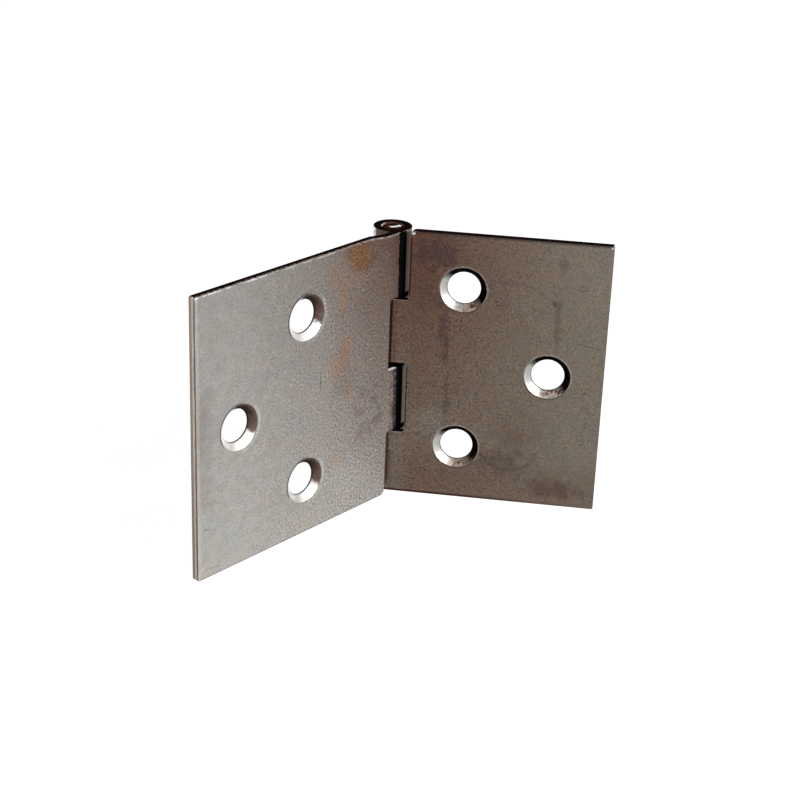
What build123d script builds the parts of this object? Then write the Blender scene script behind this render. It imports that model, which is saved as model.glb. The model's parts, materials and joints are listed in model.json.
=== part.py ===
from build123d import *
import os

# Table hinge of mild steel: two unequal leaves rolled round one pin.
# The pin stands along +Z with its lower end at the origin. The short leaf runs along +X with its
# countersunk face towards -Y. The long leaf is swung from the flat position towards that face.
# Each leaf is one sheet: it passes in front of the pin, rolls round behind it and ends just short
# of its own back face, so the knuckles stand out at the back and the countersunk faces are flush.

# Leaves
leaf_length = 40.0
long_reach = 39.25
short_reach = 30.75
sheet = 1.1
fold_angle = 56.3

# Pin and the two fits on it
pin_diameter = 3.1
pin_chamfer = 0.25
pin_recess = 0.15
running_clearance = 0.05

# Rolled knuckles
roll_sweep = 302.0
knuckles_per_leaf = 2
bearing_gap = 0.4
middle_gap = 0.9
long_slot_clearance = 0.4
short_slot_clearance = 0.2
slot_corner = 0.45
end_corner = 0.8
free_corner = 0.25

# The long leaf's top edge falls a little towards the knuckle
end_relief = 0.35
relief_full = 4.0
relief_start = 6.6
relief_blend = 4.0

# Countersunk screw holes, three to a leaf
hole_diameter = 4.66
countersink_diameter = 6.5
countersink_angle = 90
hole_spread = 24.0
long_edge_margin = 7.5
short_edge_margin = 7.85
long_row_spacing = 12.25
short_row_spacing = 12.4

# Worked out from the sizes above
pin_radius = pin_diameter / 2
tight_bore = pin_radius
free_bore = pin_radius + running_clearance
short_roll = tight_bore + sheet
long_roll = free_bore + sheet
short_slot_reach = long_roll + short_slot_clearance
long_slot_reach = short_roll + long_slot_clearance
knuckles = 2 * knuckles_per_leaf
pair_gaps = knuckles_per_leaf * bearing_gap + (knuckles_per_leaf - 1) * middle_gap
knuckle_width = (leaf_length - end_relief - pair_gaps) / knuckles
knuckle_pitch = 2 * knuckle_width + bearing_gap + middle_gap


def section_plane(height, direction, up):
    """Plane across the pin: x runs out along the leaf and y from its front to its back."""
    return Plane(origin=(0, 0, height), x_dir=direction, z_dir=(0, 0, up))


def front_plane(across, roll_radius):
    """Plane of the leaf's countersunk face: x runs out along the leaf and y along the pin."""
    face = Plane(origin=across.origin, x_dir=across.x_dir, z_dir=-across.y_dir)
    return face.offset(roll_radius)


def sheet_section(across, reach, bore):
    """Section of one leaf: the flat, then the roll round the bore to its sheared end."""
    roll_radius = bore + sheet
    with BuildSketch(across) as section:
        with BuildLine():
            front = Line((reach, -roll_radius), (0, -roll_radius))
            outside = CenterArc((0, 0), roll_radius, 270, -roll_sweep)
            inside = CenterArc((0, 0), bore, 270, -roll_sweep)
            Line(outside @ 1, inside @ 1)
            back = Line(inside @ 0, (reach, -bore))
            Line(back @ 1, front @ 0)
        make_face()
    return section.sketch


def leaf_outline(face, reach, roll_radius, slot_reach, relief):
    """Outline of one leaf on its front plane, with a tongue for each knuckle and slots between."""
    tongue_tip = -roll_radius - sheet
    corners = [(reach, 0), (reach, leaf_length), (slot_reach, leaf_length)]
    for number in reversed(range(knuckles_per_leaf)):
        near = relief + number * knuckle_pitch
        far = near + knuckle_width
        corners += [(slot_reach, far), (tongue_tip, far), (tongue_tip, near)]
        if number:
            corners.append((slot_reach, near))
    bends = [(relief_full, relief), (relief_start, 0)] if relief else []
    with BuildSketch(face) as outline:
        with BuildLine():
            Polyline(*corners, *bends, close=True)
        make_face()
        at_slots = outline.vertices().group_by(Axis.X)[1].sort_by(Axis.Y)
        fillet(at_slots[:-1], radius=slot_corner)
        last_corner = outline.vertices().sort_by_distance((slot_reach, leaf_length))[0]
        fillet(last_corner, radius=end_corner)
        fillet(outline.vertices().group_by(Axis.X)[-1], radius=free_corner)
        for bend in bends:
            fillet(outline.vertices().sort_by_distance(bend)[0], radius=relief_blend)
    return outline.sketch


def hole_places(reach, edge_margin, row_spacing):
    """Places on the front plane: one hole near the free edge, two nearer the pin."""
    outer = reach - edge_margin
    inner = outer - row_spacing
    middle = leaf_length / 2
    return [(outer, middle), (inner, middle - hole_spread / 2), (inner, middle + hole_spread / 2)]


# Short leaf, gripping the pin, with its first knuckle flush with its lower end
short_across = section_plane(0, (1, 0, 0), 1)
short_front = front_plane(short_across, short_roll)
with BuildPart() as short_leaf:
    extrude(sheet_section(short_across, short_reach, tight_bore), amount=leaf_length)
    outline = leaf_outline(short_front, short_reach, short_roll, short_slot_reach, 0)
    extrude(outline, amount=-2 * short_roll, mode=Mode.INTERSECT)
    with Locations(short_front):
        with Locations(*hole_places(short_reach, short_edge_margin, short_row_spacing)):
            CounterSinkHole(
                hole_diameter / 2, countersink_diameter / 2, counter_sink_angle=countersink_angle
            )
short_leaf.part.label = "short_leaf"

# Long leaf, turning on the pin, drawn from its upper end downwards
long_direction = Vector(-1, 0, 0).rotate(Axis.Z, fold_angle)
long_across = section_plane(leaf_length, long_direction, -1)
long_front = front_plane(long_across, long_roll)
with BuildPart() as long_leaf:
    extrude(sheet_section(long_across, long_reach, free_bore), amount=leaf_length)
    outline = leaf_outline(long_front, long_reach, long_roll, long_slot_reach, end_relief)
    extrude(outline, amount=-2 * long_roll, mode=Mode.INTERSECT)
    with Locations(long_front):
        with Locations(*hole_places(long_reach, long_edge_margin, long_row_spacing)):
            CounterSinkHole(
                hole_diameter / 2, countersink_diameter / 2, counter_sink_angle=countersink_angle
            )
long_leaf.part.label = "long_leaf"

# Pin, cut flush at the foot and standing just inside the upper knuckle
pin_length = leaf_length - end_relief - pin_recess
with BuildPart() as pin:
    with BuildSketch():
        Circle(pin_radius)
    extrude(amount=pin_length)
    chamfer(pin.edges().filter_by(GeomType.CIRCLE), length=pin_chamfer)
pin.part.label = "pin"

os.makedirs("parts", exist_ok=True)
export_step(short_leaf.part, "parts/short_leaf.step")
export_step(long_leaf.part, "parts/long_leaf.step")
export_step(pin.part, "parts/pin.step")
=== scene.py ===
"""Looks of a bare steel table hinge: two rolled leaves and their pin, on a white stage."""
import json
import math

import bmesh
import bpy
from bpy.props import FloatProperty, FloatVectorProperty, PointerProperty
from mathutils import Color, Matrix, Vector


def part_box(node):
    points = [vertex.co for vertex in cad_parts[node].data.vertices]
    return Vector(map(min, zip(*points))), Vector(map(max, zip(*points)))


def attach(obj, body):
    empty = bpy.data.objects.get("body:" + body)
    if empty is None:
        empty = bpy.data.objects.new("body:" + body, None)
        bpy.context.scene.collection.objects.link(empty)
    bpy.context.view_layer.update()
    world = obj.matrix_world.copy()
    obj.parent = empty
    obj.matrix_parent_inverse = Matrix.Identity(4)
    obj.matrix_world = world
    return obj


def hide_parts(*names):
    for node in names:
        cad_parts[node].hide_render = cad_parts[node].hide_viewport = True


bl_info = {
    "name": "Table Hinge",
    "version": (1, 0, 0),
    "blender": (4, 5, 0),
    "location": "3D View > Sidebar > Hinge",
    "description": "Dresses a table hinge in worn bare steel and lights it on a white stage",
    "category": "Object",
}

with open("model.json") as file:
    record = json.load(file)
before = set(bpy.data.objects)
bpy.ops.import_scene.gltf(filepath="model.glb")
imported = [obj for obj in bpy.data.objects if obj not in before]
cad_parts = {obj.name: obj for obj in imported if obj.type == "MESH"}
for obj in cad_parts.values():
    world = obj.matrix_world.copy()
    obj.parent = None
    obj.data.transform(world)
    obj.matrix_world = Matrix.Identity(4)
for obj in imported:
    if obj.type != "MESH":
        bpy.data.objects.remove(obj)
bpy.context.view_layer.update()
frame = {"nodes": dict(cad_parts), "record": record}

MM = 0.001
MOUNTS = {mount["name"]: mount for mount in frame["record"]["mounts"]}


def steel(red, green, blue):
    """A colour picked as 0 to 255 display values, given back as linear light."""
    parts = []
    for channel in (red, green, blue):
        share = channel / 255
        parts.append(share / 12.92 if share <= 0.04045 else ((share + 0.055) / 1.055) ** 2.4)
    return tuple(parts)


class Leaf:
    """Where one leaf's own directions and holes lie in the frame, in millimetres."""

    def __init__(self, node, body, out_angle, side, roll_radius, holes):
        self.node = node
        self.body = body
        self.out_angle = out_angle
        self.side = side
        self.roll_radius = roll_radius
        self.holes = holes
        out = Vector((math.cos(out_angle), math.sin(out_angle), 0))
        reach = max(vertex.co.dot(out) for vertex in frame["nodes"][node].data.vertices)
        self.reach = reach / MM

    def local(self, point):
        """A point of the frame as reach from the pin, depth behind the face, and height."""
        turned = Matrix.Rotation(-self.out_angle, 3, "Z") @ point / MM
        return Vector((turned.x, self.roll_radius - self.side * turned.y, turned.z))


def hole_in_leaf(position, out_angle):
    """Reach and height of a hole's centre, in millimetres."""
    turned = Matrix.Rotation(-out_angle, 3, "Z") @ Vector(position) / MM
    return turned.x, turned.z


def long_leaf_frame():
    """The long leaf: its screw holes look along the normal of its countersunk face."""
    normal = MOUNTS["long_leaf_single"]["axis"]
    out_angle = math.atan2(-normal[0], normal[1])
    names = ("long_leaf_single", "long_leaf_lower", "long_leaf_upper")
    holes = [hole_in_leaf(MOUNTS[name]["pos_m"], out_angle) for name in names]
    return Leaf("long_leaf", "swinging_leaf", out_angle, 1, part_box("long_leaf")[1].y / MM, holes)


def short_leaf_frame():
    """The short leaf: it runs out along +X."""
    single = hole_in_leaf(MOUNTS["short_leaf_single"]["pos_m"], 0)
    pair = MOUNTS["short_leaf_pair"]
    reach, middle = hole_in_leaf(pair["pos_m"], 0)
    half = pair["dims"]["spacing_y_mm"] / 2
    holes = [single, (reach, middle - half), (reach, middle + half)]
    return Leaf("short_leaf", "fixed_leaf", 0, -1, -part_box("short_leaf")[0].y / MM, holes)


LONG = long_leaf_frame()
SHORT = short_leaf_frame()
HOLE_RADIUS = MOUNTS["short_leaf_single"]["dims"]["r_mm"]
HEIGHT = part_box("short_leaf")[1].z / MM

# Order of the materials on a leaf
SKIN = 0
SHEARED = 1
TURNED = 2
ROUNDED = 3

# The stage: lengths in metres, the camera's turn in radians, plain greys, and the floor's own glow,
# as a share of white near the hinge and the distances between which it rises to full white
HINGE_MIDDLE = Vector((0, -10, 20)) * MM
CAMERA_PLACE = Vector((32.478, -235.772, 120.686)) * MM
CAMERA_TURN = [math.radians(angle) for angle in (65.678, -1.927, 8.263)]
FLOOR_HALF = 1.5
FLOOR_GAP = 0.02 * MM
FLOOR_GLOW = 0.93
GLOW_RISE = (0.08, 0.25)
WHITE = (1, 1, 1)
FLOOR_GREY = (0.3, 0.3, 0.3)
FILL_GREY = (0.12, 0.12, 0.12)

# Heights, in millimetres, of the lower ends of the long leaf's knuckles and of the short leaf's slots,
# where painted shade lies
KNUCKLE_FEET = ((29.8, 30.5), (9.5, 10.2))
SHORT_SLOTS = ((30.6, 38.8), (10.4, 19.6))

# Soft patches on a leaf: reach, height, half width and half height in millimetres, and strength
LONG_FILM = (
    (12.0, 5.5, 6.0, 5.0, -0.08), (9.2, 37.8, 4.4, 4.2, 0.38), (12.5, 23.0, 3.4, 6.5, 0.12),
    (38.5, 20.0, 4.0, 10.0, 0.26))
LONG_RUST = (
    (9.6, 38.2, 3.2, 2.2, 0.38), (10.2, 36.8, 4.4, 4.6, 0.3), (12.8, 32.6, 1.4, 3.8, 0.45),
    (11.8, 25.6, 1.1, 3.2, 0.6), (13.2, 23.6, 2.6, 2.8, 0.45), (11.4, 18.8, 0.8, 1.8, 0.6),
    (14.6, 36.5, 1.4, 3.4, 0.3), (25.5, 15.5, 2.0, 1.4, 0.2), (13.0, 9.0, 3.0, 2.0, 0.15))
SHORT_FILM = ((18.5, 11.0, 6.0, 5.0, 0.2), (7.5, 12.0, 4.5, 3.5, -0.2))
SHORT_STAINS = (
    (6.6, 37.2, 5.0, 3.4, 0.9), (8.0, 26.0, 1.2, 6.0, 0.6), (8.5, 22.4, 0.7, 1.8, 0.6),
    (8.8, 15.0, 0.6, 4.2, 0.5), (5.5, 31.5, 4.0, 5.0, 0.35), (23.8, 28.6, 0.7, 5.6, 0.42),
    (23.2, 31.1, 0.5, 0.6, 0.5), (23.9, 36.8, 0.9, 1.5, 0.32), (25.0, 2.6, 5.4, 2.2, 0.6),
    (16.0, 6.2, 6.5, 3.0, 0.4), (18.5, 9.0, 4.0, 4.0, 0.2), (15.5, 31.0, 2.0, 2.0, 0.15))

# Scratches: reach and height in millimetres, lean from upright in radians, length, half width, strength
LONG_SCRATCHES = (
    (16.7, 21.7, 0.04, 2.2, 0.09, 0.8), (37.6, 7.2, 1.3, 1.3, 0.09, 0.45),
    (36.9, 1.15, 1.5, 3.4, 0.09, 0.3))
SHORT_SCRATCHES = ((28.6, 25.1, 1.75, 4.2, 0.12, 0.5), (25.4, 24.9, 1.4, 2.6, 0.1, 0.3))


class HingeSizes(bpy.types.PropertyGroup):
    """Small sizes that only the looks have."""

    arris: FloatProperty(
        name="Arris", description="Width of the rounding on each sheared edge",
        default=0.1 * MM, unit="LENGTH")
    countersink: FloatProperty(
        name="Countersink", description="Radius of the countersinks at the face",
        default=3.25 * MM, unit="LENGTH")
    grain: FloatProperty(
        name="Grain", description="Size of one grain of the dull sheet surface",
        default=0.3 * MM, unit="LENGTH")


class HingeColours(bpy.types.PropertyGroup):
    """Colours of the steel and of what has settled on it."""

    clean: FloatVectorProperty(
        name="Clean Sheet", description="Dull grey of the long leaf near its free edge",
        subtype="COLOR", default=steel(168, 165, 160))
    film: FloatVectorProperty(
        name="Brown Film", description="Brown oxide on the long leaf towards the knuckles",
        subtype="COLOR", default=steel(88, 50, 27))
    tarnished: FloatVectorProperty(
        name="Tarnished Sheet", description="Brown-grey of the short leaf near its free edge",
        subtype="COLOR", default=steel(121, 111, 99))
    # Also the colour of some painted shade: on the far side of the long leaf's roll and in the short
    # leaf's lower dark line
    stain: FloatVectorProperty(
        name="Purple Film", description="Dark purplish oxide on the short leaf",
        subtype="COLOR", default=steel(68, 44, 42))
    rust: FloatVectorProperty(
        name="Rust", description="Orange-brown rust bloom",
        subtype="COLOR", default=steel(150, 104, 58))
    # Also the colour of painted shade, and of the painted dark reflection on the top edges
    black: FloatVectorProperty(
        name="Blackened Steel", description="Oily black of the cut edges",
        subtype="COLOR", default=steel(22, 13, 14))
    # Colour of a painted dark reflection where the long leaf turns round the pin, and of painted shade at
    # its knuckles' lower ends
    dark_reflection_and_shade: FloatVectorProperty(
        name="Painted Dark Reflection and Shade", description="Blue-black stripes where the long leaf turns round the pin",
        subtype="COLOR", default=steel(11, 13, 13))
    tan: FloatVectorProperty(
        name="Sheared Edge", description="Tan of the sheared free edges",
        subtype="COLOR", default=steel(182, 162, 144))
    # Also the colour of painted highlights and glints on edges, corners and knuckles
    bright: FloatVectorProperty(
        name="Fresh Cut and Highlights", description="Bright steel of the long leaf's countersinks and of worn edges",
        subtype="COLOR", default=steel(250, 249, 247))
    turned: FloatVectorProperty(
        name="Turned Steel", description="Duller steel of the short leaf's countersinks",
        subtype="COLOR", default=steel(203, 202, 198))


class HingeStage(bpy.types.PropertyGroup):
    """The camera and the light."""

    lens: FloatProperty(
        name="Lens", description="Focal length of the camera",
        default=81.36, unit="CAMERA")
    key: FloatProperty(
        name="Key Light", description="Power of the lamp at the right",
        default=2.0, unit="POWER")
    fill: FloatProperty(
        name="Fill Light", description="Power of the lamp at the left",
        default=0.9, unit="POWER")


class Value:
    """A number in a material, wrapped so that shader maths reads as an expression."""

    def __init__(self, board, socket):
        self.board = board
        self.socket = socket

    def maths(self, operation, *numbers):
        inputs = dict(enumerate(numbers))
        node = self.board.node("ShaderNodeMath", {"operation": operation}, inputs)
        return Value(self.board, node.outputs[0])

    def __add__(self, other):
        return self.maths("ADD", self, other)

    def __radd__(self, other):
        return self.maths("ADD", other, self)

    def __sub__(self, other):
        return self.maths("SUBTRACT", self, other)

    def __rsub__(self, other):
        return self.maths("SUBTRACT", other, self)

    def __mul__(self, other):
        return self.maths("MULTIPLY", self, other)

    def __rmul__(self, other):
        return self.maths("MULTIPLY", other, self)

    def __truediv__(self, other):
        return self.maths("DIVIDE", self, other)

    def root(self):
        return self.maths("SQRT", self)

    def size(self):
        return self.maths("ABSOLUTE", self)

    def wave(self):
        return self.maths("SINE", self)

    def or_more(self, other):
        return self.maths("MAXIMUM", self, other)

    def or_less(self, other):
        return self.maths("MINIMUM", self, other)

    def rise(self, low, high):
        """0 below low, 1 above high, and a smooth step between; falls if high is under low."""
        node = self.board.node(
            "ShaderNodeMapRange", {"interpolation_type": "SMOOTHSTEP"},
            {"Value": self, "From Min": low, "From Max": high})
        return Value(self.board, node.outputs["Result"])

    def within(self, low, high, soft):
        """1 between low and high, fading to 0 over the soft width outside them."""
        return self.rise(low - soft, low) * self.rise(high + soft, high)


class Board:
    """The nodes of one material, or of the world."""

    def __init__(self, owner):
        self.owner = owner
        owner.use_nodes = True
        self.tree = owner.node_tree
        self.tree.nodes.clear()

    def node(self, kind, settings=None, inputs=None):
        """Adds a node: its settings first, then the values or links of its sockets."""
        made = self.tree.nodes.new(kind)
        for name, value in (settings or {}).items():
            setattr(made, name, value)
        for key, value in (inputs or {}).items():
            self.feed(made.inputs[key], value)
        return made

    def feed(self, socket, value):
        """Links a socket to a value, or sets it to a plain number or colour."""
        if isinstance(value, Value):
            value = value.socket
        if isinstance(value, bpy.types.NodeSocket):
            self.tree.links.new(value, socket)
        elif isinstance(value, (tuple, Color)) and socket.type == "RGBA":
            socket.default_value = (*value[:3], 1)
        else:
            socket.default_value = value

    def blend(self, factor, under, over):
        """Colour that is under where the factor is 0 and over where it is 1."""
        node = self.node("ShaderNodeMix", {"data_type": "RGBA"}, {0: factor, 6: under, 7: over})
        return node.outputs[2]

    def multiply(self, colour, tint):
        """Two colours multiplied part by part."""
        node = self.node(
            "ShaderNodeMix", {"data_type": "RGBA", "blend_type": "MULTIPLY"},
            {0: 1.0, 6: colour, 7: tint})
        return node.outputs[2]

    def shade(self, colour, amount):
        """A colour made darker or lighter by a number that varies round 1."""
        grey = self.node("ShaderNodeCombineColor", {}, {0: amount, 1: amount, 2: amount})
        return self.multiply(colour, grey.outputs[0])

    def surface(self, sockets):
        """Adds a surface shader with its sockets."""
        return self.node("ShaderNodeBsdfPrincipled", {}, sockets).outputs[0]

    def dull(self, colour):
        """Adds a surface that throws back only a soft colour."""
        return self.surface({"Base Color": colour, "Roughness": 0.6, "Specular IOR Level": 0.0})

    def cover(self, factor, under, over):
        """Surface that is under where the factor is 0 and over where it is 1."""
        return self.node("ShaderNodeMixShader", {}, {0: factor, 1: under, 2: over}).outputs[0]

    def bump(self, height, strength, distance):
        """Fine relief from a varying height, with its depth in millimetres."""
        node = self.node(
            "ShaderNodeBump", {}, {"Strength": strength, "Distance": distance * MM, "Height": height})
        return node.outputs[0]

    def finish(self, surface):
        """Adds a material's output and gives the material back."""
        self.node("ShaderNodeOutputMaterial", {}, {"Surface": surface})
        return self.owner


class LeafBoard(Board):
    """Nodes of a material on one leaf, with places given in the leaf's own millimetres."""

    def __init__(self, name, leaf):
        super().__init__(bpy.data.materials.new(name))
        self.leaf = leaf
        position = self.node("ShaderNodeTexCoord").outputs["Object"]
        self.place = self.node(
            "ShaderNodeMapping", {},
            {"Vector": position, "Rotation": (0, 0, -leaf.out_angle), "Scale": (1 / MM,) * 3},
        ).outputs[0]
        parts = self.node("ShaderNodeSeparateXYZ", {}, {0: self.place})
        self.reach = Value(self, parts.outputs[0])
        self.height = Value(self, parts.outputs[2])
        self.depth = leaf.roll_radius - leaf.side * Value(self, parts.outputs[1])
        self.face = self.depth.rise(0.6, 0.4)

    def noise(self, size, detail=3.0, roughness=0.55, stretch=(1, 1, 1), seed=0.0):
        """Cloudy noise round 0.5, with features of about a size in millimetres."""
        moved = self.node(
            "ShaderNodeMapping", {},
            {"Vector": self.place, "Location": (seed,) * 3,
             "Scale": tuple(1 / (size * part) for part in stretch)}).outputs[0]
        made = self.node(
            "ShaderNodeTexNoise", {},
            {"Vector": moved, "Scale": 1.0, "Detail": detail, "Roughness": roughness})
        return Value(self, made.outputs["Fac"])

    def dots(self, spacing, seed=0.0):
        """Distance to the nearest of many scattered points, as a share of their spacing."""
        moved = self.node(
            "ShaderNodeMapping", {},
            {"Vector": self.place, "Location": (seed,) * 3, "Scale": (1 / spacing,) * 3}).outputs[0]
        made = self.node("ShaderNodeTexVoronoi", {}, {"Vector": moved, "Scale": 1.0})
        return Value(self, made.outputs["Distance"])

    def away(self, reach, height, wide=1.0, tall=1.0):
        """Distance on the face from a place, as a share of a half width and a half height."""
        across = (self.reach - reach) / wide
        along = (self.height - height) / tall
        return (across * across + along * along).root()

    def patch(self, reach, height, wide, tall, ragged):
        """Soft patch with an uneven rim: 1 at its middle and 0 outside."""
        rim = self.away(reach, height, wide, tall) + (ragged - 0.5) * 1.8
        return rim.rise(1.0, 0.2)

    def patches(self, places, ragged):
        """Sum of soft patches, each as strong as its last number."""
        total = 0.0
        for *place, strength in places:
            total = self.patch(*place, ragged) * strength + total
        return total

    def scratch(self, reach, height, lean, length, wide):
        """Thin line of a length, leaning by an angle from upright, round a place."""
        across = (self.reach - reach) * math.cos(lean) - (self.height - height) * math.sin(lean)
        along = (self.reach - reach) * math.sin(lean) + (self.height - height) * math.cos(lean)
        ends = along.size().rise(length / 2, length / 2 - 0.4)
        return across.size().rise(wide, wide / 3) * ends * self.face

    def scratches(self, places):
        """Sum of scratches, each as strong as its last number."""
        total = 0.0
        for *place, strength in places:
            total = self.scratch(*place) * strength + total
        return total

    def at_heights(self, spans, soft):
        """1 within any of some spans of height."""
        total = 0.0
        for low, high in spans:
            total = self.height.within(low, high, soft) + total
        return total

    def nearest_hole(self):
        """Distance on the face to the middle of the nearest screw hole."""
        near = None
        for reach, height in self.leaf.holes:
            here = self.away(reach, height)
            near = here if near is None else near.or_less(here)
        return near

    def hole_side(self, degrees, edge, soft, ragged=0.0):
        """1 on the side of each hole that lies in a direction, in degrees from outwards to upwards."""
        over = math.cos(math.radians(degrees))
        up = math.sin(math.radians(degrees))
        side = 0.0
        for reach, height in self.leaf.holes:
            distance = self.away(reach, height)
            towards = (self.reach - reach) * over + (self.height - height) * up
            share = towards / distance.or_more(0.1) + ragged
            here = share.rise(edge - soft, edge + soft) * distance.rise(5, 4)
            side = here.or_more(side)
        return side


class SheetBoard(LeafBoard):
    """Nodes of one leaf's skin, with the noises that colour it and break up its marks."""

    def __init__(self, leaf, sizes, seed, cloud_size, cloud_seed):
        super().__init__(leaf.node + "_sheet", leaf)
        self.seed = seed
        self.grain = self.noise(sizes.grain / MM, 1.5, 0.6, seed=seed)
        self.mottle = self.noise(1.5, 4.0, 0.62, seed=seed + 3)
        self.cloud = self.noise(cloud_size, 3.0, 0.5, seed=cloud_seed)
        self.past_rim = self.nearest_hole() - sizes.countersink / MM

    def speckle(self, amount):
        """Lighter and darker round 1, grain by grain, and more in some places than in others."""
        patchy = self.noise(3.0, 3.0, 0.6, seed=self.seed + 6).rise(0.3, 0.7) * 0.5 + 0.75
        return 1 + (self.grain - 0.5) * amount * patchy + (self.mottle - 0.5) * 0.5

    def warm_and_cool(self, colour, seed, strength):
        """Turns a colour slightly yellow-brown in some places and blue-grey in others."""
        drift = self.noise(3.0, 5.0, 0.7, seed=seed).rise(0.36, 0.64)
        warm = (1 + strength, 1.0, 1 - 1.6 * strength)
        cool = (1 - 1.3 * strength, 1.0, 1 + 1.3 * strength)
        return self.multiply(colour, self.blend(drift, cool, warm))

    def skin(self, colour):
        """The dull, finely pitted surface of the sheet."""
        return self.surface({
            "Base Color": colour, "Metallic": 0.35, "Roughness": 0.56 + (self.grain - 0.5) * 0.4,
            "Normal": self.bump(self.grain + self.mottle * 0.4, 0.5, 0.03)})


def long_leaf_film(board, colours):
    """Clean sheet under a brown film that grows towards the pin and towards the top, with painted shade
    that darkens it towards the top and lightens it towards the bottom.
    """
    reach = board.reach
    film = (reach + (board.cloud - 0.5) * 6).rise(35.0, -8.0) * (0.3 + board.height * 0.0172)
    film = film * 1.08 + (board.mottle - 0.5) * reach.within(4, 18, 6) * 0.35
    film = film + reach.within(21, 27, 5) * 0.04 + board.patches(LONG_FILM, board.cloud)
    colour = board.blend(film.or_less(0.95), colours.clean, colours.film)
    # Painted shade: lighter towards the bottom and darker towards the top, as if lit from the floor
    return board.shade(colour, 1.08 - board.height * 0.0085)


def long_leaf_rust(board, colours, colour):
    """Rust blooms, and purplish mottling above the lower knuckle."""
    for reach, height, wide, tall, strength in LONG_RUST:
        bloom = board.patch(reach, height, wide, tall, board.mottle) * board.grain.rise(0.2, 0.7)
        colour = board.blend(bloom * board.face * strength, colour, colours.rust)
    bruise = board.patch(6.5, 14.0, 5.0, 6.0, board.cloud) * board.mottle.rise(0.44, 0.62) * 0.45
    return board.blend(bruise * board.face, colour, colours.stain)


def long_leaf_bend(board, colours, colour):
    """Where the sheet turns round the pin: its colour there, and the share of a painted dark reflection
    along the turn and of painted shade at the knuckles' lower ends.
    """
    reach = board.reach
    height = board.height
    mottle = board.mottle
    outer = height * 0.0175 + 0.94 + (mottle - 0.5) * 0.5
    inner = (height - 20.9) * 0.0085 - 0.06
    edge = reach + (board.grain - 0.5) * 0.3

    # Ragged brown fringe along the painted dark band, and ragged black beside it by the lower knuckle
    torn = board.noise(0.7, 3.0, 0.65, seed=12.0)
    fringe = (reach - outer).within(-0.2, 0.55, 0.2) * torn.rise(0.32, 0.46) * height.rise(33, 20)
    faint = reach.within(1.6, 2.2, 0.7) * mottle.rise(0.35, 0.6) * 0.55
    colour = board.blend((fringe * 0.95).or_more(faint) * board.face, colour, colours.stain)
    ragged_black = (reach - outer).within(-0.2, 0.45, 0.15) * torn.rise(0.42, 0.5) * height.rise(24, 18)
    colour = board.blend(ragged_black * board.face * 0.75, colour, colours.black)

    # Brown strip beyond the painted dark band, painted shade on the roll's far side, and a painted
    # highlight on the back of the top knuckle
    strip = (edge - inner).rise(0.0, -0.2) * reach.rise(-1.35, -1.15) * board.face
    colour = board.blend(strip * 0.3, colour, colours.film)
    far_side_shade = reach.rise(-1.0, -1.5) * board.depth.rise(2.6, 2.2)
    colour = board.blend(far_side_shade, colour, colours.stain)
    back_highlight = board.depth.rise(3.3, 3.9) * reach.rise(-0.4, 0.6) * height.rise(30.5, 38.5)
    colour = board.blend((back_highlight * (mottle + 0.4)).or_less(0.95), colour, colours.bright)

    # Painted dark reflection along the turn, and painted shade at the lower ends of the knuckles
    painted_dark = (edge - inner).rise(-0.08, 0.08) * (edge - outer).rise(0.1, -0.08) * board.face
    knuckle_foot_shade = board.at_heights(KNUCKLE_FEET, 0.15) * reach.rise(1.6, 1.2)
    return colour, painted_dark.or_more(knuckle_foot_shade)


def long_leaf_marks(board, colours, colour):
    """Pale specks, pits and scratches; painted shade as a dark line at each countersink's outer rim and
    along the bottom edge; painted highlights along the top and free edges, at the top corner and beside
    each rim towards the pin.
    """
    reach = board.reach
    height = board.height
    mottle = board.mottle
    specks = board.dots(1.1, seed=2.0).rise(0.16, 0.05) * mottle.rise(0.48, 0.56)
    colour = board.blend(specks * 0.2, colour, colours.bright)

    pits = board.dots(1.9, seed=7.0).rise(0.09, 0.03) * board.cloud.rise(0.45, 0.6)
    nick = board.away(38.0, 7.2).rise(0.25, 0.1)
    # Painted shade: a dark line just outside each countersink, on its outer upper side
    rim_shade = board.past_rim.within(0.05, 0.21, 0.08) * board.hole_side(35, 0.45, 0.2) * board.face
    marks = pits * 0.7 + board.scratches(LONG_SCRATCHES) + nick * 0.35 + rim_shade * 0.7
    # Painted shade: a dark line along the bottom edge
    marks = marks + height.rise(0.16, 0.08) * 0.6
    colour = board.blend(marks.or_less(0.85), colour, colours.black)

    # Painted highlights along the broken top edge and beside the free edge
    top_edge = HEIGHT - reach.rise(6.6, 4.0) * 0.35
    broken = mottle.rise(0.42, 0.6) * (0.25 + reach.rise(22, 30) * 0.4)
    edge_highlight = (height - top_edge).rise(-0.3, -0.18) * broken + reach.rise(38.5, 38.95) * 0.14
    # Painted glint at the top corner by the free edge
    corner = board.away(39.0, 39.8).rise(0.22, 0.1) * 0.5
    # Painted highlight just outside each countersink, on the side towards the pin
    rim_highlight = board.past_rim.within(0.25, 0.45, 0.25) * board.hole_side(200, 0.5, 0.3) * 0.16
    return board.blend((edge_highlight + corner + rim_highlight) * board.face, colour, colours.bright)


def long_sheet(colours, sizes):
    """Skin of the long leaf: pale sand-grey, browner and rusty towards the knuckles, with a painted dark
    reflection where it turns round the pin.
    """
    board = SheetBoard(LONG, sizes, seed=0.0, cloud_size=6.0, cloud_seed=9.0)
    colour = long_leaf_film(board, colours)
    colour = long_leaf_rust(board, colours, colour)
    colour, painted_dark = long_leaf_bend(board, colours, colour)
    colour = long_leaf_marks(board, colours, colour)
    colour = board.warm_and_cool(colour, seed=11.0, strength=0.025)
    colour = board.shade(colour, board.speckle(board.reach.rise(36, 2) * 2.2 + 0.95))
    # The painted dark reflection and painted shade take a dull dark surface
    return board.finish(board.cover(painted_dark, board.skin(colour), board.dull(colours.dark_reflection_and_shade)))


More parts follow.
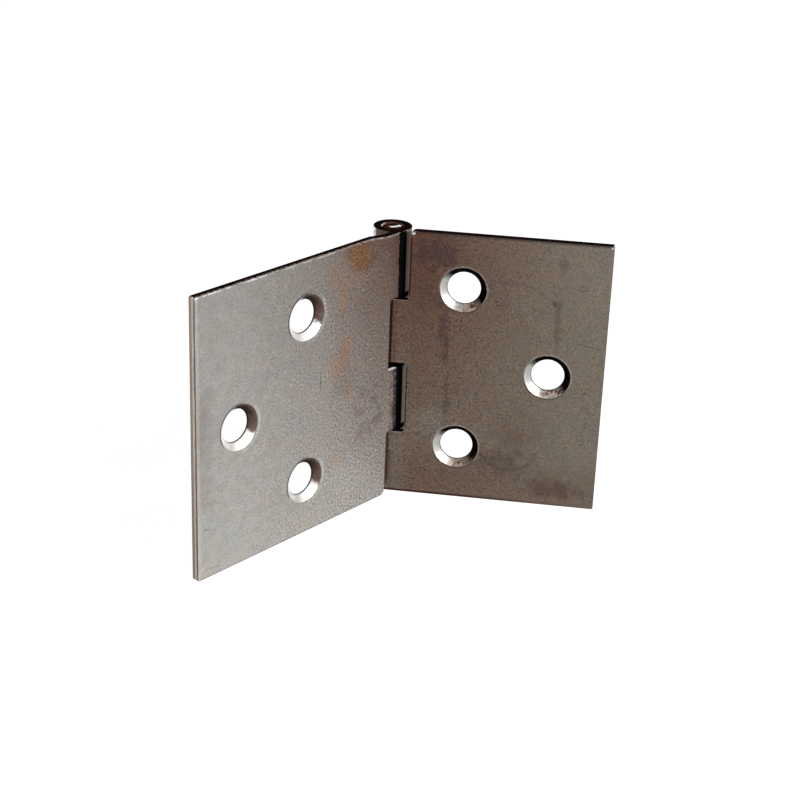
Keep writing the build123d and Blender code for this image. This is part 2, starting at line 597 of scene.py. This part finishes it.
def short_leaf_film(board, colours):
    """Tarnished sheet under a dark film that grows towards the pin, the top and the bottom edge."""
    reach = board.reach
    height = board.height
    film = (reach + (board.cloud - 0.5) * 6).rise(32.0, 0.0) * (0.25 + height * 0.016)
    film = film * 1.1 + height.rise(9.0, 2.5) * 0.3 + (board.mottle - 0.5) * 0.28
    film = film + board.patches(SHORT_FILM, board.cloud) - reach.rise(4.5, 1.5) * height.rise(38, 5) * 0.3
    return board.blend(film.or_less(0.95).or_more(0.0), colours.tarnished, colours.film)


def short_leaf_stains(board, colours, colour):
    """Purplish stains, scratches and pits, and rings and a run left by drops and a damp washer."""
    height = board.height
    drop = board.away(26.9, 33.5).within(0.38, 0.48, 0.14) * 0.5
    washer = board.away(18.0, 9.2).within(4.1, 4.4, 0.35) * height.rise(9.0, 7.0) * 0.3
    run = board.away(17.0, 26.5, 8.0, 7.2).within(0.97, 1.0, 0.05) * height.rise(30.0, 31.5) * 0.2
    damp = (drop + washer + run) * board.mottle.rise(0.3, 0.55)
    stains = board.patches(SHORT_STAINS, board.mottle) + damp + board.scratches(SHORT_SCRATCHES)
    stains = stains * board.face
    pits = board.dots(1.7, seed=4.0).rise(0.1, 0.03) * board.cloud.rise(0.42, 0.58)
    stains = stains + pits * 0.8 + board.away(28.2, 18.0).rise(0.22, 0.08)
    return board.blend(stains.or_less(0.9), colour, colours.stain)


def short_leaf_lights(board, colours, colour):
    """Pale specks, painted glints at the two top corners, and a faint pale ring round each countersink
    with a painted shadow on its lower side.
    """
    pale = board.patch(6.5, 11.5, 3.6, 3.0, board.cloud) * 0.02
    specks = board.dots(1.2, seed=6.0).rise(0.14, 0.05) * board.mottle.rise(0.5, 0.58) * 0.12
    # Painted glints at the top corners
    glints = board.away(3.3, 39.7).rise(0.3, 0.15) + board.away(30.5, 39.8).rise(0.3, 0.1)
    ring = board.past_rim.within(0.05, 0.17, 0.1) * board.face
    under = board.hole_side(-105, 0.4, 0.3)
    light = (pale + specks + glints) * board.face + ring * (1 - under) * 0.12
    colour = board.blend(light, colour, colours.bright)
    # Painted shadow on the ring's lower side
    return board.blend(ring * under * 0.6, colour, colours.black)


def short_leaf_bend(board, colours, colour):
    """Where the sheet turns away behind the long leaf: its colour, a painted dark reflection along the
    top, and the share of the painted shade.
    """
    reach = board.reach
    height = board.height
    tint = reach.within(1.0, 1.3, 0.2) * board.mottle.rise(0.35, 0.6) * (0.3 + height.rise(10, 20) * 0.35)
    colour = board.blend(tint * board.face, colour, colours.film)
    # Painted dark reflection along the top of the face
    colour = board.blend(height.rise(39.5, 40.0) * board.face * 0.85, colour, colours.black)

    # Painted shade: a dark line at the bend, wider but paler on the lower knuckle, and one along each
    # slot and the foot
    bend = reach + (board.grain - 0.5) * 0.15 - height.rise(10.5, 9.5) * 0.08
    bend = bend.rise(0.85, 0.68) * reach.rise(-1.0, -0.5) * height.rise(0.0, 2.5)
    bend = bend * (0.75 + height.rise(10, 20) * 0.25) * (1 - height.rise(15, 20) * 0.15)
    foot = height.rise(0.42, 0.26) * reach.rise(34, 6) * 0.95
    slots = reach.within(2.96, 3.1, 0.08) * board.at_heights(SHORT_SLOTS, 0.3) * 0.75
    return colour, bend.or_more(foot).or_more(slots) * board.face


def short_sheet(colours, sizes):
    """Skin of the short leaf: brown-grey, with dark and purplish patches, a few rings, and painted shade
    at its bend, slot edges and bottom edge.
    """
    board = SheetBoard(SHORT, sizes, seed=5.0, cloud_size=5.0, cloud_seed=1.0)
    colour = short_leaf_film(board, colours)
    colour = short_leaf_stains(board, colours, colour)
    colour = short_leaf_lights(board, colours, colour)
    colour, lines = short_leaf_bend(board, colours, colour)
    colour = board.warm_and_cool(colour, seed=13.0, strength=0.035)
    colour = board.shade(colour, board.speckle(board.reach.rise(28, 2) * 1.5 + 1.5))
    # Colour of the painted shade: purplish low down, black higher up
    painted_shade = board.blend(board.height.rise(9.5, 11.0), colours.stain, colours.black)
    return board.finish(board.cover(lines, board.skin(colour), board.dull(painted_shade)))


def cut_edge(leaf, colours):
    """Sheared edges of a leaf: tan at the free end; painted dark reflection and shade, black with brown
    specks, along the top, bottom and slot edges, with painted highlights on the long leaf's top edge and
    lower knuckle.
    """
    board = LeafBoard(leaf.node + "_cut", leaf)
    grain = board.noise(0.35, 3.0, 0.65)
    streak = board.noise(0.5, 3.0, 0.6, stretch=(1, 1, 4.0), seed=6.0)

    # Across the sheared end: dark line at the face, bright line, torn tan, dark back edge
    across = board.depth + (streak - 0.5) * 0.22
    end = board.blend(across.within(0.34, 0.56, 0.08) * 0.65, colours.tan, colours.bright)
    end = board.blend(across.rise(0.28, 0.2) * 0.5, end, colours.stain)
    end = board.blend(across.rise(0.96, 1.04) * 0.3, end, colours.stain)
    end = board.blend(grain.rise(0.6, 0.72) * 0.25, end, colours.stain)
    end = board.shade(end, 1.15 + streak * 0.5 - board.height.rise(25, 5) * 0.2)

    at_end = board.reach.rise(leaf.reach - 0.2, leaf.reach - 0.05)
    # Painted dark reflection and shade on the top, bottom and slot edges
    brown = board.blend(grain.rise(0.52, 0.66) * 0.35, colours.black, colours.film)
    if leaf is LONG:
        # Painted highlight streaked along the front of the long leaf's top edge
        front = board.depth.rise(0.45, 0.25) * board.height.rise(38.5, 39.0) * board.reach.rise(5, 9)
        brown = board.blend(front * streak.rise(0.42, 0.56) * 0.8, brown, colours.tan)
    colour = board.blend(at_end, brown, end)
    if leaf is LONG:
        # Painted highlight on the top of the lower knuckle
        knuckle_top = board.height.within(17.0, 20.2, 0.3)
        lit = knuckle_top * board.reach.within(1.4, 4.0, 0.3) * board.depth.rise(0.7, 0.4)
        colour = board.blend(lit, colour, colours.bright)
    return board.finish(board.dull(colour))


def arris_light_and_shade(leaf, colours):
    """Narrow rounded edges: painted highlights on some of them and painted shade and dark reflection
    elsewhere, and plain colours round the countersinks.
    """
    board = LeafBoard(leaf.node + "_arris", leaf)
    grain = board.noise(0.6, 3.0, 0.65, seed=2.0)
    broken = grain.rise(0.38, 0.52)
    front = board.depth.rise(0.09, 0.04)
    top = board.height.rise(HEIGHT - 0.6, HEIGHT - 0.3)
    if leaf is LONG:
        # Painted highlights on the long leaf's top front arris, its bottom arris and its free edge
        free_edge = board.reach.rise(leaf.reach - 0.3, leaf.reach - 0.1)
        worn = top * broken * board.reach.rise(-1.5, -0.5)
        worn = worn + board.height.rise(0.3, 0.1) * 0.2 + free_edge * 0.25
        front = front.or_more(top * board.depth.rise(1.6, 2.0) * 0.35)
    else:
        # Painted highlights by the short leaf's knuckles and at its top corner
        knuckle_top = board.reach.rise(3.4, 3.0) * board.height.within(8, 31, 0.5)
        worn = knuckle_top * 0.7 + top * board.reach.rise(3.9, 3.4) * 0.8
    # Black as painted shade and dark reflection, with the painted highlights on the front
    colour = board.blend((worn * front).or_less(0.95), colours.black, colours.bright)
    # Round each countersink: tan on the short leaf, and on the long leaf clean below and purplish brown
    # on its upper side
    upper_rim = board.hole_side(100, 0.0, 0.4) * 0.95
    rim = board.blend(upper_rim, colours.clean, colours.stain) if leaf is LONG else colours.tan
    colour = board.blend(board.nearest_hole().rise(3.6, 3.5), colour, rim)
    return board.finish(board.dull(colour))


def countersink(leaf, colours):
    """Turned steel of the countersinks with the cutter's rings, painted shade on the side away from the
    light, a painted brown on one side, and the hole's inside painted black as shade.
    """
    board = LeafBoard(leaf.node + "_countersink", leaf)
    near = board.nearest_hole()
    grain = board.noise(0.35, 3.0, 0.6)
    ragged = board.noise(0.8, 3.0, 0.6, seed=8.0)
    rings = (near * 36.0 + ragged * 6).wave()
    soft_edge = (ragged - 0.5) * 0.6
    if leaf is LONG:
        fresh = colours.bright
        # Painted shade on the upper side towards the pin, away from the light, and painted brown on the
        # side towards the pin, streaked and fading outwards
        painted_shade = board.hole_side(143, 0.42, 0.12, soft_edge) * 0.92
        brown_side = board.hole_side(175, 0.55, 0.3) * 0.25
        torn = board.noise(0.6, 4.0, 0.7, seed=15.0)
        faded = near.rise(2.6, 3.3) * ragged.rise(0.35, 0.6) * 0.7
        shade_colour = board.blend(faded, colours.film, colours.tarnished)
        shade_colour = board.blend(torn.rise(0.44, 0.56) * 0.7, shade_colour, colours.film)
        shade_colour = board.blend(ragged.rise(0.5, 0.62) * 0.4, shade_colour, colours.tarnished)
    else:
        fresh = colours.turned
        # Painted shade on the upper outer side, away from the light, and a painted brownish reflection on
        # the lower outer side
        painted_shade = board.hole_side(50, -0.08, 0.34, soft_edge)
        shade_colour = colours.black
        brown_side = board.hole_side(-65, 0.72, 0.28, soft_edge * 0.5) * (0.5 + ragged.rise(0.3, 0.65) * 0.5)
    # The colour of the painted brown side
    rust = board.blend(grain.rise(0.4, 0.6), colours.film, colours.tan)
    colour = board.blend(brown_side, fresh, rust)
    colour = board.blend(painted_shade * (0.85 + ragged * 0.3).or_less(1.0), colour, shade_colour)
    if leaf is LONG:
        # Darkest painted shade close to the hole
        darkest_shade = board.hole_side(110, 0.6, 0.35).or_more(near.rise(2.8, 2.4) * 0.5)
        colour = board.blend(darkest_shade * painted_shade * near.rise(3.3, 2.6) * 0.8, colour, colours.black)
    # The hole's inside painted black as shade
    wall_shade = near.rise(HOLE_RADIUS + 0.1, HOLE_RADIUS + 0.03)
    colour = board.blend(wall_shade * 0.93, colour, colours.black)
    colour = board.shade(colour, 0.92 + rings * 0.08)
    return board.finish(board.surface({
        "Base Color": colour, "Metallic": (1 - painted_shade - wall_shade).or_more(0) * 0.9, "Roughness": 0.36,
        "Specular IOR Level": 0.0, "Normal": board.bump(rings, 0.35, 0.01)}))


def pin_steel(colours):
    """Drawn wire, brown and black on its cropped end, with painted shade on its rim and shaft and a
    painted highlight along a lip across the end.
    """
    board = LeafBoard("pin_wire", SHORT)
    grain = board.noise(0.5, 3.0, 0.6)
    colour = board.blend(grain.rise(0.4, 0.6), colours.film, colours.black)
    forward = board.depth - SHORT.roll_radius
    # Painted shade: black on the end's rim and on the shaft, where the pin sits in the roll
    edge = (board.reach * board.reach + forward * forward).root().rise(1.2, 1.3)
    colour = board.blend(edge * 0.9, colour, colours.black)

    # The lip's middle and the way it runs, seen from above, and its slight bend
    lip_reach = 0.5
    lip_forward = 0.2
    turn = 0.67
    over = board.reach - lip_reach
    ahead = forward - lip_forward
    along = over * math.cos(turn) + ahead * math.sin(turn)
    across = ahead * math.cos(turn) - over * math.sin(turn) - along * along * 0.25
    lip = across.size().rise(0.36, 0.2) * along.size().rise(1.1, 0.8)
    lip = lip * board.height.rise(HEIGHT - 2, HEIGHT - 1)
    # The lip painted bright as a highlight
    colour = board.blend(lip * 0.9, colour, colours.bright)
    return board.finish(board.surface({
        "Base Color": colour, "Metallic": lip, "Roughness": 0.4, "Specular IOR Level": 0.0,
        "Normal": board.bump(grain + lip, 0.6, 0.05)}))


def merged_copy(node, arris):
    """A CAD node's shape as one closed mesh, with its sharp edges slightly rounded."""
    same_plane = math.radians(0.2)
    sharp_from = math.radians(30)
    shape = bmesh.new()
    shape.from_mesh(frame["nodes"][node].data)
    bmesh.ops.remove_doubles(shape, verts=shape.verts, dist=0.001 * MM)
    bmesh.ops.dissolve_limit(shape, angle_limit=same_plane, verts=shape.verts, edges=shape.edges)
    sharp = [edge for edge in shape.edges
             if edge.is_manifold and edge.calc_face_angle() > sharp_from]
    made = bmesh.ops.bevel(
        shape, geom=sharp, offset=arris, offset_type="OFFSET", segments=2,
        profile=0.5, affect="EDGES", clamp_overlap=True, material=-1)
    return shape, set(made["faces"])


def surface_kind(face, leaf, countersink_radius):
    """Which material a face takes: skin, sheared edge, or countersink and hole."""
    corners = [leaf.local(vertex.co) for vertex in face.verts]
    for reach, height in leaf.holes:
        away = max(math.hypot(corner.x - reach, corner.z - height) for corner in corners)
        if away < countersink_radius:
            return TURNED

    # The skin looks out of the flat, and on the roll straight away from the pin or towards it
    place = leaf.local(face.calc_center_median())
    normal = leaf.local(face.normal * MM) - leaf.local(Vector())
    if place.x > leaf.roll_radius:
        return SKIN if abs(normal.y) > 0.8 else SHEARED
    radial = face.calc_center_median().xy.normalized().dot(face.normal.xy)
    return SKIN if abs(radial) > 0.9 or abs(normal.y) > 0.95 else SHEARED


def add_piece(name, shape, materials):
    """Turns a bmesh into a smooth-shaded object at the origin."""
    mesh = bpy.data.meshes.new(name)
    for face in shape.faces:
        face.smooth = True
    shape.to_mesh(mesh)
    shape.free()
    piece = bpy.data.objects.new(name, mesh)
    for material in materials:
        mesh.materials.append(material)
    bpy.context.scene.collection.objects.link(piece)
    weighted = piece.modifiers.new("Flat faces stay flat", "WEIGHTED_NORMAL")
    weighted.keep_sharp = True
    return piece


def add_leaf(name, leaf, sheet, context):
    """Dresses one leaf: skin, sheared edges and countersinks."""
    colours = context.scene.hinge_colours
    sizes = context.scene.hinge_sizes
    shape, rounded = merged_copy(leaf.node, sizes.arris)
    for face in shape.faces:
        kind = surface_kind(face, leaf, sizes.countersink / MM)
        face.material_index = ROUNDED if face in rounded else kind
    materials = [sheet, cut_edge(leaf, colours), countersink(leaf, colours), arris_light_and_shade(leaf, colours)]
    piece = add_piece(name, shape, materials)
    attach(piece, leaf.body)
    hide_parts(leaf.node)


class HINGE_OT_long_leaf(bpy.types.Operator):
    """Dress the long leaf"""

    bl_idname = "hinge.long_leaf"
    bl_label = "Long Leaf"

    def execute(self, context):
        sheet = long_sheet(context.scene.hinge_colours, context.scene.hinge_sizes)
        add_leaf("long_leaf_steel", LONG, sheet, context)
        return {"FINISHED"}


class HINGE_OT_short_leaf(bpy.types.Operator):
    """Dress the short leaf"""

    bl_idname = "hinge.short_leaf"
    bl_label = "Short Leaf"

    def execute(self, context):
        sheet = short_sheet(context.scene.hinge_colours, context.scene.hinge_sizes)
        add_leaf("short_leaf_steel", SHORT, sheet, context)
        return {"FINISHED"}


class HINGE_OT_pin(bpy.types.Operator):
    """Dress the pin"""

    bl_idname = "hinge.pin"
    bl_label = "Pin"

    def execute(self, context):
        shape, _ = merged_copy("pin", context.scene.hinge_sizes.arris / 2)
        piece = add_piece("pin_steel", shape, [pin_steel(context.scene.hinge_colours)])
        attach(piece, "fixed_leaf")
        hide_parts("pin")
        return {"FINISHED"}


def seen_directly(board):
    """1 for what the eye, a reflection or glass sees, and 0 for light that only fills."""
    rays = board.node("ShaderNodeLightPath").outputs
    seen = Value(board, rays["Is Camera Ray"])
    for name in ("Is Glossy Ray", "Is Transmission Ray"):
        seen = seen.or_more(Value(board, rays[name]))
    return seen


def floor_material():
    """White floor that keeps a faint shadow near the hinge, and is plain white further out."""
    board = Board(bpy.data.materials.new("floor"))
    position = board.node("ShaderNodeTexCoord").outputs["Object"]
    length = board.node("ShaderNodeVectorMath", {"operation": "LENGTH"}, {0: position})
    distance = Value(board, length.outputs["Value"])
    strength = seen_directly(board) * (FLOOR_GLOW + distance.rise(*GLOW_RISE) * (1 - FLOOR_GLOW))
    glow = board.node("ShaderNodeEmission", {}, {"Color": WHITE, "Strength": strength})
    matt = board.node("ShaderNodeBsdfDiffuse", {}, {"Color": FLOOR_GREY})
    both = board.node("ShaderNodeAddShader", {}, {0: glow.outputs[0], 1: matt.outputs[0]})
    return board.finish(both.outputs[0])


def white_world():
    """White to the eye and in reflections, and a low grey as fill light."""
    world = bpy.data.worlds.new("white")
    board = Board(world)
    colour = board.blend(seen_directly(board), FILL_GREY, WHITE)
    sky = board.node("ShaderNodeBackground", {}, {"Color": colour, "Strength": 1.0})
    board.node("ShaderNodeOutputWorld", {}, {"Surface": sky.outputs[0]})
    bpy.context.scene.world = world


def add_light(name, direction, distance, size, power):
    """A square lamp that looks at the middle of the hinge from a direction."""
    lamp = bpy.data.lights.new(name, "AREA")
    lamp.shape = "SQUARE"
    lamp.size = size
    lamp.energy = power
    light = bpy.data.objects.new(name, lamp)
    towards = Vector(direction).normalized()
    light.location = HINGE_MIDDLE + towards * distance
    light.rotation_euler = towards.to_track_quat("Z", "Y").to_euler()
    bpy.context.scene.collection.objects.link(light)


def add_floor():
    """A square of floor just under the hinge."""
    shape = bmesh.new()
    bmesh.ops.create_grid(shape, x_segments=1, y_segments=1, size=FLOOR_HALF)
    bmesh.ops.translate(shape, verts=shape.verts, vec=(0, 0, -FLOOR_GAP))
    mesh = bpy.data.meshes.new("floor")
    shape.to_mesh(mesh)
    shape.free()
    mesh.materials.append(floor_material())
    floor = bpy.data.objects.new("floor", mesh)
    bpy.context.scene.collection.objects.link(floor)


def add_camera(focal_length):
    """The photograph's view."""
    lens = bpy.data.cameras.new("camera")
    lens.lens = focal_length
    lens.sensor_width = 36
    lens.clip_start = 0.01
    camera = bpy.data.objects.new("camera", lens)
    camera.location = CAMERA_PLACE
    camera.rotation_euler = CAMERA_TURN
    bpy.context.scene.collection.objects.link(camera)
    bpy.context.scene.camera = camera


class HINGE_OT_stage(bpy.types.Operator):
    """Set up the floor, the lights and the camera"""

    bl_idname = "hinge.stage"
    bl_label = "Stage"

    def execute(self, context):
        stage = context.scene.hinge_stage
        add_floor()
        white_world()
        add_light("key", direction=(0.75, -0.45, 0.48), distance=0.45, size=0.22, power=stage.key)
        add_light("fill", direction=(-0.95, -0.2, 0.25), distance=0.5, size=0.3, power=stage.fill)
        add_camera(stage.lens)
        context.scene.view_settings.view_transform = "Standard"
        return {"FINISHED"}


class HINGE_PT_panel(bpy.types.Panel):
    """Lists the hinge's pieces and the stage"""

    bl_idname = "HINGE_PT_panel"
    bl_label = "Table Hinge"
    bl_space_type = "VIEW_3D"
    bl_region_type = "UI"
    bl_category = "Hinge"

    def draw(self, context):
        for operator in OPERATORS:
            self.layout.operator(operator.bl_idname)


GROUPS = {"hinge_sizes": HingeSizes, "hinge_colours": HingeColours, "hinge_stage": HingeStage}
OPERATORS = (HINGE_OT_long_leaf, HINGE_OT_short_leaf, HINGE_OT_pin, HINGE_OT_stage)


def register():
    for name, group in GROUPS.items():
        bpy.utils.register_class(group)
        setattr(bpy.types.Scene, name, PointerProperty(type=group))
    for operator in OPERATORS:
        bpy.utils.register_class(operator)
    bpy.utils.register_class(HINGE_PT_panel)


def unregister():
    bpy.utils.unregister_class(HINGE_PT_panel)
    for operator in reversed(OPERATORS):
        bpy.utils.unregister_class(operator)
    for name, group in GROUPS.items():
        delattr(bpy.types.Scene, name)
        bpy.utils.unregister_class(group)


def main():
    register()
    bpy.ops.hinge.long_leaf()
    bpy.ops.hinge.short_leaf()
    bpy.ops.hinge.pin()
    bpy.ops.hinge.stage()


if __name__ == "__main__":
    main()
